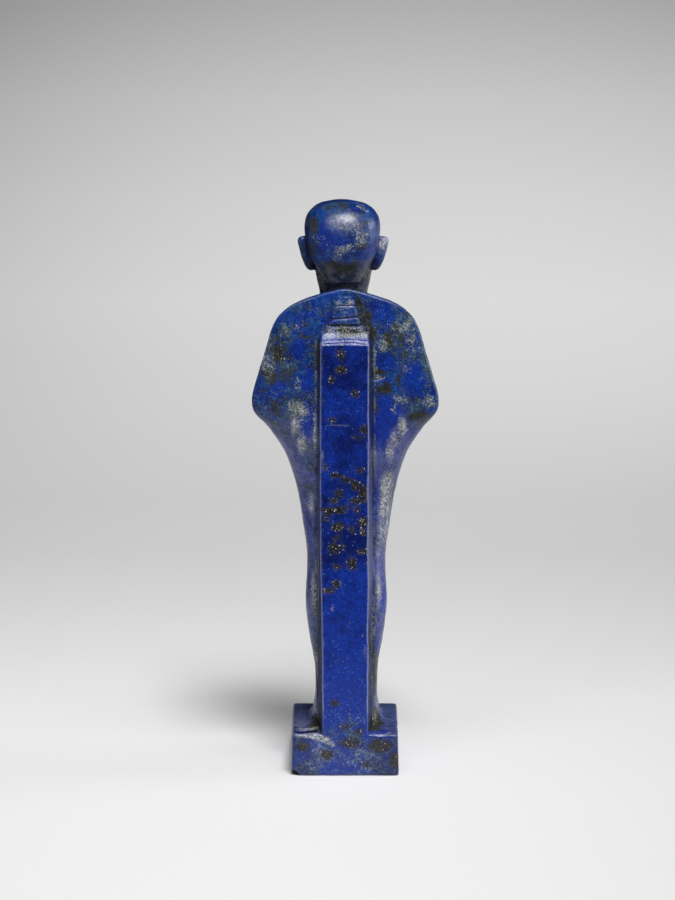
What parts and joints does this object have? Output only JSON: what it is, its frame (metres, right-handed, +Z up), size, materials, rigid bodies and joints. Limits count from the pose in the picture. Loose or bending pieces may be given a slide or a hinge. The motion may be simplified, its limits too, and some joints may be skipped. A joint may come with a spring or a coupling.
{
  "type": "statuette of a standing wrapped god with a back pillar",
  "caption": "Small carved stone statuette of a standing wrapped god in a skull cap, on a low plinth against a back pillar with a grooved tab.",
  "frame": {"origin": "on the ground, under the middle of the object's bounding box", "axes": "+Z up the figure, -Y the way the figure faces, +Y out of the back pillar, +X to the figure's left"},
  "size_m": [0.0168, 0.011, 0.052],
  "materials": {
    "blue_stone": "polished deep-blue stone with grey and green mottling, gold and dark specks, and dirt in the grooves"
  },
  "bodies": {
    "root": {"statuette": "blue_stone"}
  },
  "joints": []
}
